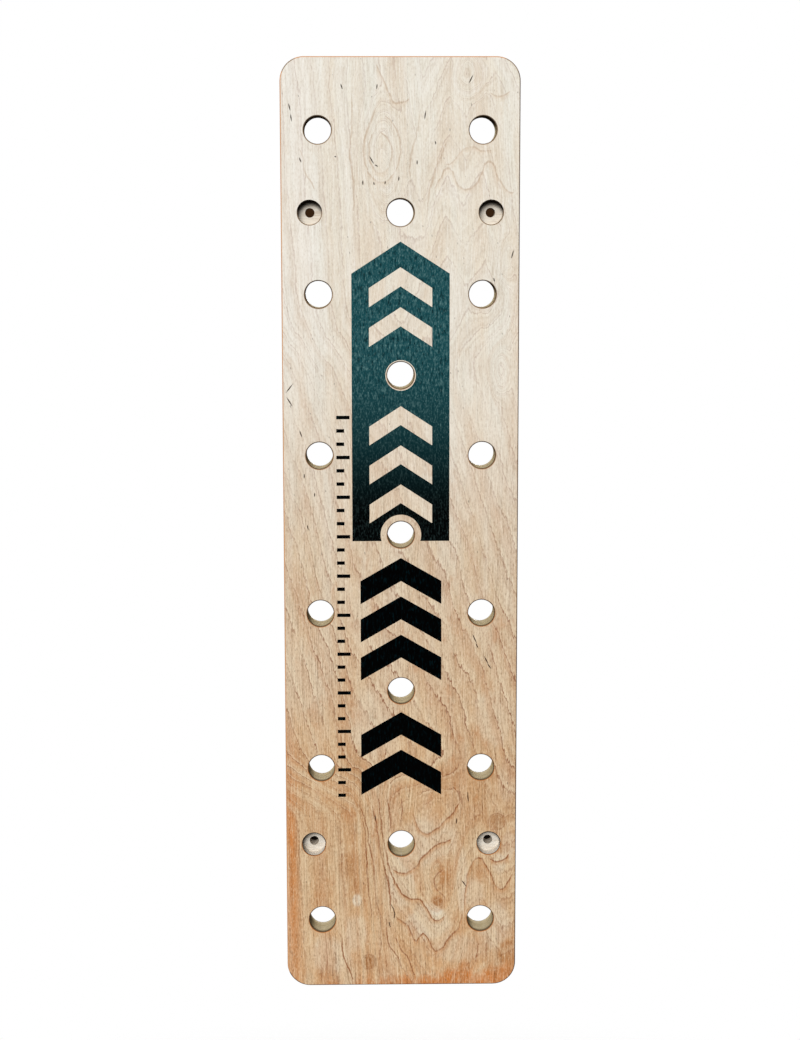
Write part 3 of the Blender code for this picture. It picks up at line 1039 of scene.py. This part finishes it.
def add_print():
    teal = ink("ink_teal", 0.26, 0.02, (26, 74, 80), (3, 4, 4), wear=0.75)
    black = ink("ink_black", 0.0, -1.0, (3, 3, 3), (3, 3, 3), wear=0.0)
    hole_radius = PEG_HOLE_RADIUS + PEG_RIM_ROUND + HOLE_MARGIN
    hole = circle((0.0, row_height(BAND_HOLE_ROW)), hole_radius, PEG_HOLE_SIDES)
    bare = [chevron(tip, CHEVRON_HALF_WIDTH, CHEVRON_RISE, CHEVRON_STROKE) for tip in CHEVRON_TIPS]
    print_plate("print_band", [band_outline(), hole, *bare], teal)
    for number, tip in enumerate(BLACK_TIPS, start=1):
        shape = chevron(tip, BLACK_HALF_WIDTH, BLACK_RISE, BLACK_STROKE)
        print_plate(f"print_chevron_{number}", [shape], black)
    print_plate("print_scale", [tick(number) for number in range(TICK_COUNT)], black)


def add_world():
    """White where the camera, a reflection or glass sees it. Its own light comes from above and the sides."""
    world = bpy.data.worlds.new("studio")
    bpy.context.scene.world = world
    look = Look(world, "Generated")
    nodes, links = look.tree.nodes, look.tree.links
    level = look.ramp(look.z, LOW_SKY, HIGH_SKY, LOW_LEVEL, HIGH_LEVEL)
    light = nodes["Background"]
    light.inputs["Color"].default_value = WHITE
    links.new(level, light.inputs["Strength"])
    white = look.node("ShaderNodeBackground", {"Color": WHITE, "Strength": 1.0})
    path = nodes.new("ShaderNodeLightPath").outputs
    rays = ("Is Camera Ray", "Is Glossy Ray", "Is Transmission Ray")
    seen = look.chain("MAXIMUM", *(path[ray] for ray in rays))
    mixed = look.node("ShaderNodeMixShader", {0: seen, 1: light.outputs[0], 2: white})
    links.new(mixed, nodes["World Output"].inputs["Surface"])


def stage_sheet(name, points, material):
    mesh = bpy.data.meshes.new(name)
    mesh.from_pydata(points, [], [list(range(len(points)))])
    mesh.materials.append(material)
    sheet = bpy.data.objects.new(name, mesh)
    bpy.context.scene.collection.objects.link(sheet)
    return sheet


def clear_where(look, share):
    """Turns the look's material transparent by a share."""
    clear = look.node("ShaderNodeBsdfTransparent", {})
    mixed = look.node("ShaderNodeMixShader", {0: share, 1: look.shader.outputs[0], 2: clear})
    look.tree.links.new(mixed, look.tree.nodes["Material Output"].inputs["Surface"])


def add_floor():
    """A pale floor far under the board, faded out at its rim. No light comes back up from it."""
    look = new_look("studio_floor")
    grain = look.noise(look.place, scale=40.0)
    look.colour = look.mix(grain, (246, 246, 244), (250, 250, 248))
    look.finish(look.between(grain, 0.8, 0.9), grain, distance=0.0002)
    away = look.vectors("LENGTH", look.place, output="Value")
    bounced = look.node("ShaderNodeLightPath", {}, "Is Diffuse Ray")
    clear_where(look, look.math("MAXIMUM", look.ramp(away, FLOOR_SOLID, FLOOR_RADIUS), bounced))
    points = [(x, y, 0.0) for x, y in circle((0.0, 0.0), FLOOR_RADIUS, FLOOR_SIDES)]
    sheet = stage_sheet("studio_floor", points, look.owner)
    sheet.location.z = -HALF_HEIGHT - FLOOR_DROP


def add_bore_cards():
    """A card behind each bore that glows dimly in dark tones as painted shade, seen from the front only: no
    light comes through in the photograph.
    """
    for tone, colour in (("upper", (54, 35, 20)), ("lower", (14, 10, 8))):
        look = new_look(f"painted_shade_card_behind_{tone}_bore")
        look.shader.inputs["Base Color"].default_value = (0.0, 0.0, 0.0, 1.0)
        look.shader.inputs["Specular IOR Level"].default_value = 0.0
        # The card glows in dark tones though it is no lamp: painted shade seen through the bores.
        look.shader.inputs["Emission Color"].default_value = srgb(*colour)
        look.shader.inputs["Emission Strength"].default_value = 1.0
        clear_where(look, look.node("ShaderNodeNewGeometry", {}, "Backfacing"))
        for x, z in bolt_hole_centres():
            if (z > 0) == (tone == "upper"):
                side = "left" if x < 0 else "right"
                points = [(u, CARD_GAP, v) for u, v in circle((x, z), CARD_RADIUS, POCKET_SIDES)]
                stage_sheet(f"bore_shade_card_{tone}_{side}", points, look.owner)


def add_sun(name, towards, level, spread):
    """A distant soft lamp. Level is what it adds to a white surface that faces it."""
    lamp = bpy.data.lights.new(name, "SUN")
    lamp.energy = level * math.pi
    lamp.angle = math.radians(spread)
    placed = bpy.data.objects.new(name, lamp)
    placed.rotation_euler = Vector(towards).to_track_quat("Z", "Y").to_euler()
    bpy.context.scene.collection.objects.link(placed)


def add_camera():
    camera = bpy.data.cameras.new("photo_camera")
    camera.sensor_fit = "VERTICAL"
    camera.sensor_height = SENSOR
    camera.lens = CAMERA_LENS
    placed = bpy.data.objects.new("photo_camera", camera)
    turned = Matrix.Rotation(math.radians(CAMERA_TURN), 4, "Z")
    tilted = Matrix.Rotation(math.radians(90 - CAMERA_PITCH), 4, "X")
    rolled = Matrix.Rotation(math.radians(CAMERA_ROLL), 4, "Z")
    placed.matrix_world = Matrix.Translation(CAMERA_PLACE) @ turned @ tilted @ rolled
    bpy.context.scene.collection.objects.link(placed)
    bpy.context.scene.camera = placed


bpy.context.scene.view_settings.view_transform = "Standard"
add_camera()
add_world()
add_floor()
add_bore_cards()
for sun in SUNS:
    add_sun(*sun)
add_veneers()
add_print()
